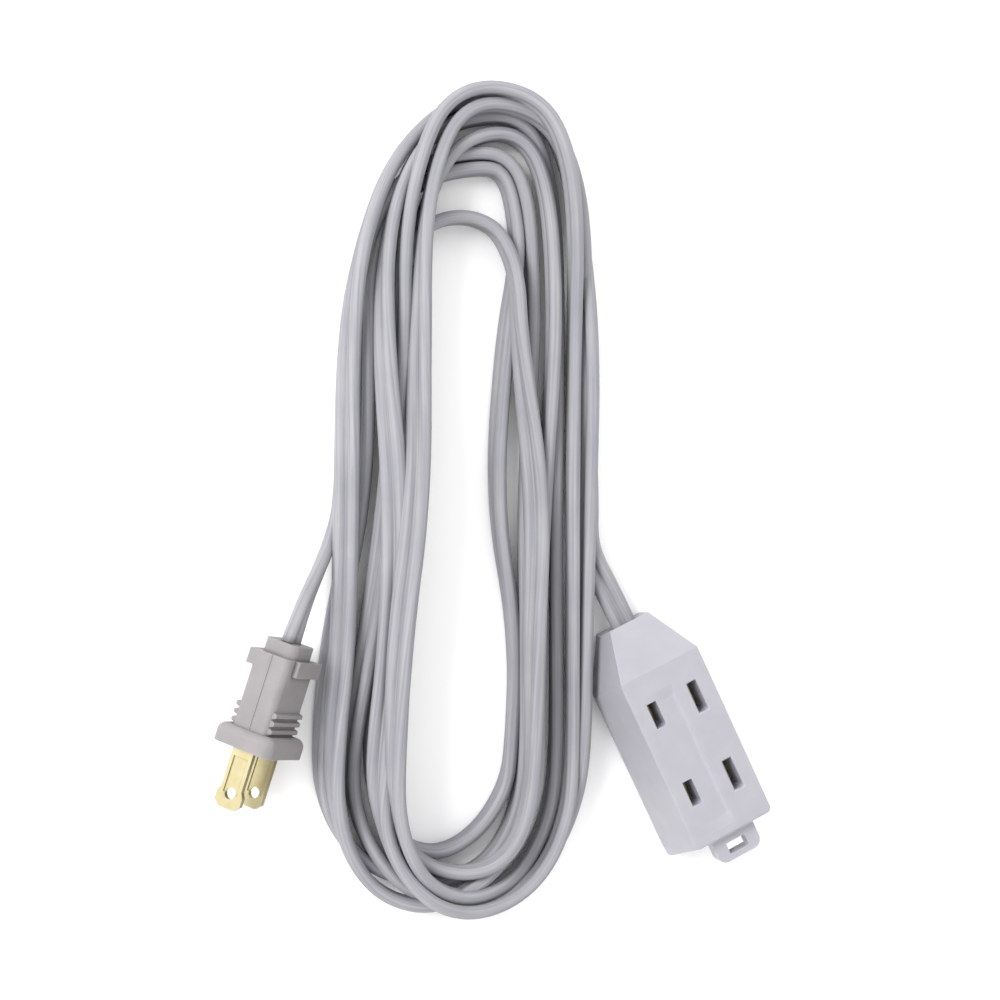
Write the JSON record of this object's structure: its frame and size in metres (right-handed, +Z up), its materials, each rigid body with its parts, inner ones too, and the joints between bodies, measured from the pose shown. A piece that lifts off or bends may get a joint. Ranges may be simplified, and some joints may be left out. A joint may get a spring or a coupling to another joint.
{
  "type": "extension cord",
  "caption": "Light-duty indoor extension cord: flat cord in a long loose coil, flat-bladed polarised plug, and a block connector with parallel-slot outlets and a hang tab.",
  "frame": {"origin": "centre of the connector's flat back face, on the surface the whole cord lies on", "axes": "+Z up, out of the connector's outlet face; +Y along the coil's long axis, towards the end where the connector's neck points; the connector is turned 25.6 degrees about Z from it"},
  "size_m": [0.1573, 0.2291, 0.0246],
  "materials": {
    "connector_shell": "white moulded plastic, satin",
    "plug_moulding": "warm white soft PVC moulding, fine matt texture",
    "cord_jacket": "cool white soft PVC jacket, slight sheen",
    "blade_brass": "pale yellow brass, lightly brushed",
    "contact_brass": "stamped spring brass",
    "copper": "bare stranded copper",
    "carrier": "grey-white rigid plastic"
  },
  "bodies": {
    "root": {"connector_front_shell": "connector_shell", "connector_back_shell": "connector_shell", "neutral_contact_strip": "contact_brass", "hot_contact_strip": "contact_brass", "connector_lead_copper_neutral": "copper", "connector_lead_copper_hot": "copper", "connector_lead_insulation_neutral": "cord_jacket", "connector_lead_insulation_hot": "cord_jacket", "plug_blade_neutral": "blade_brass", "plug_blade_hot": "blade_brass", "plug_blade_carrier": "carrier", "plug_lead_copper_neutral": "copper", "plug_lead_copper_hot": "copper", "plug_lead_insulation_neutral": "cord_jacket", "plug_lead_insulation_hot": "cord_jacket", "plug_overmould": "plug_moulding", "cord_plug_tail": "cord_jacket", "cord_connector_tail": "cord_jacket", "cord_coil": "cord_jacket"}
  },
  "joints": []
}
